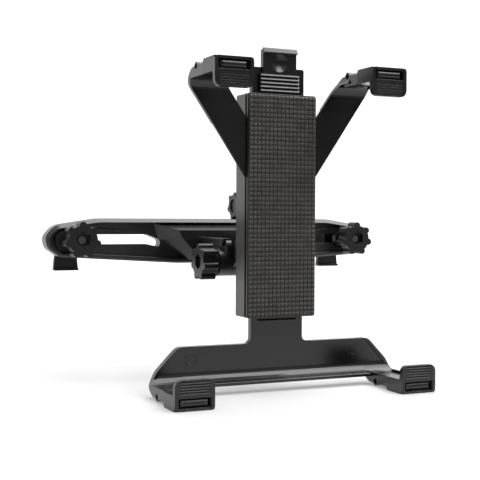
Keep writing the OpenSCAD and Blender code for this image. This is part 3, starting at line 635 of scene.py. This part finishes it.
# %% [markdown]
# So far the studs are only loose geometry. Here it becomes one object. One object for all studs
# is far quicker to draw than 816 of them, and it rides on the column as the mat does.

# %% The studs as one piece
stud_mesh = bpy.data.meshes.new("grip_studs")
studs.normal_update()
studs.to_mesh(stud_mesh)
studs.free()
grip_studs = bpy.data.objects.new("grip_studs", stud_mesh)
bpy.context.collection.objects.link(grip_studs)
stud_mesh.materials.append(STUD_PAINTED_HIGHLIGHT_RUBBER)
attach(grip_studs, "column")
print(grip_studs.name, "faces", len(stud_mesh.polygons))

# %% [markdown]
# The holder stands on its two lower claws on a white sweep, a sheet of paper that lies flat and
# then curves up into a wall. A flat floor with a separate wall would show a horizon line behind
# the object. The sheet is drawn as a side view of a few points, and stretched sideways.

# %% The sweep
SWEEP_NEAR_Y, SWEEP_BEND_Y, SWEEP_TOP = -3.0, 1.2, 4.0
SWEEP_RADIUS, SWEEP_HALF_WIDE = 0.8, 4.0
bottom = min(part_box(name)[0].z for name in ("lower_left_claw", "lower_right_claw"))
profile = [(SWEEP_NEAR_Y, 0.0), (SWEEP_BEND_Y, 0.0)]
profile += [(SWEEP_BEND_Y + SWEEP_RADIUS * math.sin(a), SWEEP_RADIUS - SWEEP_RADIUS * math.cos(a))
            for a in [math.radians(d) for d in range(6, 91, 6)]]
profile += [(SWEEP_BEND_Y + SWEEP_RADIUS, SWEEP_TOP)]
sweep = bpy.data.meshes.new("sweep")
sweep.from_pydata([(x, y, z + bottom) for y, z in profile
                   for x in (-SWEEP_HALF_WIDE, SWEEP_HALF_WIDE)], [],
                  [(2 * i, 2 * i + 1, 2 * i + 3, 2 * i + 2) for i in range(len(profile) - 1)])
for face in sweep.polygons:
    face.use_smooth = True
floor = bpy.data.objects.new("floor", sweep)
bpy.context.collection.objects.link(floor)
print("floor at z", round(bottom / MM, 2), "mm")

# %% [markdown]
# In the studio, the far part of the sweep is lit by lamps of its own, so that it comes out pure
# white, while the paper under the object keeps a soft shadow. More lamps would also light the
# object, so the paper itself glows instead: not at all near the camera, and most at the wall.

# %% White paper
GLOW_FROM_Y, GLOW_TO_Y, GLOW = -0.6, 1.1, 0.85
paper = bpy.data.materials.new("white_paper")
tree = empty_graph(paper)
place = node(tree, "SeparateXYZ", feeds={0: node(tree, "TexCoord").outputs["Object"]})
glow = node(tree, "MapRange", {"From Min": GLOW_FROM_Y, "From Max": GLOW_TO_Y, "To Min": 0.0,
                               "To Max": GLOW}, {"Value": place.outputs["Y"]})
shade = node(tree, "BsdfPrincipled", {"Base Color": linear("a8a8a8"), "Roughness": 0.9,
                                      "Emission Color": (1, 1, 1, 1)},
             {"Emission Strength": glow.outputs["Result"]})
node(tree, "OutputMaterial", feeds={"Surface": shade.outputs["BSDF"]})
sweep.materials.append(paper)
print(paper.name, "glows from 0 to", GLOW)

# %% [markdown]
# Black plastic is drawn by what it reflects. A single grey sky would make all faces alike. This
# sky is bright behind and above the object, so that tops and edges get light rims, and dim on
# the camera's side, so that the fronts stay black. Two ramps are made, one from front to back
# and one from low to high, and the brighter of the two counts.

# %% The sky of the studio
DIM, BRIGHT = 0.15, 0.85
# Parts of a direction one long: 0.1 is about 6 degrees above the horizon, 0.7 about 44.
FRONT, BACK = -0.4, 0.4
LOW, HIGH = 0.1, 0.7
world = bpy.data.worlds.new("studio")
bpy.context.scene.world = world
tree = empty_graph(world)
towards = node(tree, "SeparateXYZ", feeds={0: node(tree, "TexCoord").outputs["Generated"]})
depth = node(tree, "MapRange", {"From Min": FRONT, "From Max": BACK, "To Min": DIM,
                                "To Max": BRIGHT}, {"Value": towards.outputs["Y"]})
height = node(tree, "MapRange", {"From Min": LOW, "From Max": HIGH, "To Min": DIM,
                                 "To Max": BRIGHT}, {"Value": towards.outputs["Z"]})
brighter = node(tree, "Math", {"operation": "MAXIMUM"},
                {0: depth.outputs["Result"], 1: height.outputs["Result"]})
sky = node(tree, "Background", {"Color": (1, 1, 1, 1)}, {"Strength": brighter.outputs["Value"]})
node(tree, "OutputWorld", feeds={"Surface": sky.outputs["Background"]})
print("sky from", DIM, "to", BRIGHT)

# %% [markdown]
# Three softboxes finish the light. A large one overhead is what the rim of the bar and all other
# slopes of 45 degrees mirror. A small one in front and above is mirrored by surfaces that lean
# back a little, such as the ribs. A weak tall one on the left draws a line down the left sides.
# Point lamps would be simpler, but in a glossy skin they show as hard dots.

# %% Softboxes


def softbox(name, place, aim, width, height, watts):
    """A rectangular soft light at place, facing aim; sizes in metres."""
    lamp = bpy.data.lights.new(name, "AREA")
    lamp.shape, lamp.size, lamp.size_y, lamp.energy = "RECTANGLE", width, height, watts
    box = bpy.data.objects.new(name, lamp)
    box.location = place
    box.rotation_euler = (Vector(aim) - Vector(place)).to_track_quat("-Z", "Y").to_euler()
    bpy.context.collection.objects.link(box)
    return box


softbox("overhead_light", place=(0.4, -0.1, 1.25), aim=(0, -0.05, 0), width=1.2, height=1.5,
        watts=32)
softbox("front_top_light", place=(0.6, -1.0, 0.95), aim=(0, 0, 0.05), width=0.6, height=0.6,
        watts=6.5)
softbox("left_light", place=(-1.4, 0.35, 0.5), aim=(0, -0.05, 0), width=0.6, height=1.4, watts=4)

# %% [markdown]
# The photograph was taken from the front left, a little above the middle of the holder, with a
# long lens. Such a view can be set by eye, but then small errors in it look like errors in the
# object. Here the place, the direction and the focal length were worked out from where known
# corners of the object fall in the picture, which is 480 pixels wide.

# %% Camera
PICTURE_WIDE = 480
FOCAL_PIXELS = 1018.709
CAMERA_PLACE = Vector((-277.615, -661.684, 15.496)) * MM
yaw, pitch, roll = (math.radians(a) for a in (24.334, 1.392, 0.305))
ahead = Vector((math.sin(yaw) * math.cos(pitch), math.cos(yaw) * math.cos(pitch),
                -math.sin(pitch)))
across = Vector((math.cos(yaw), -math.sin(yaw), 0))
upward = across.cross(ahead)
right = across * math.cos(roll) + upward * math.sin(roll)
up = upward * math.cos(roll) - across * math.sin(roll)
lens = bpy.data.cameras.new("camera")
lens.sensor_fit = "HORIZONTAL"
lens.sensor_width = 36
lens.lens = FOCAL_PIXELS / PICTURE_WIDE * lens.sensor_width
lens.clip_start, lens.clip_end = 0.01, 50
camera = bpy.data.objects.new("camera", lens)
bpy.context.collection.objects.link(camera)
turned = Matrix((right, up, -ahead)).transposed().to_4x4()
camera.matrix_world = Matrix.Translation(CAMERA_PLACE) @ turned
bpy.context.scene.camera = camera
print("lens", round(lens.lens, 1), "mm")

# %% [markdown]
# Blender's default view holds back light tones as film does. A product picture on white needs its
# whites white, so the plain view is used.

# %% Plain view
bpy.context.scene.view_settings.view_transform = "Standard"
print("view", bpy.context.scene.view_settings.view_transform)

# %% [markdown]
# The finish must not make the object larger.
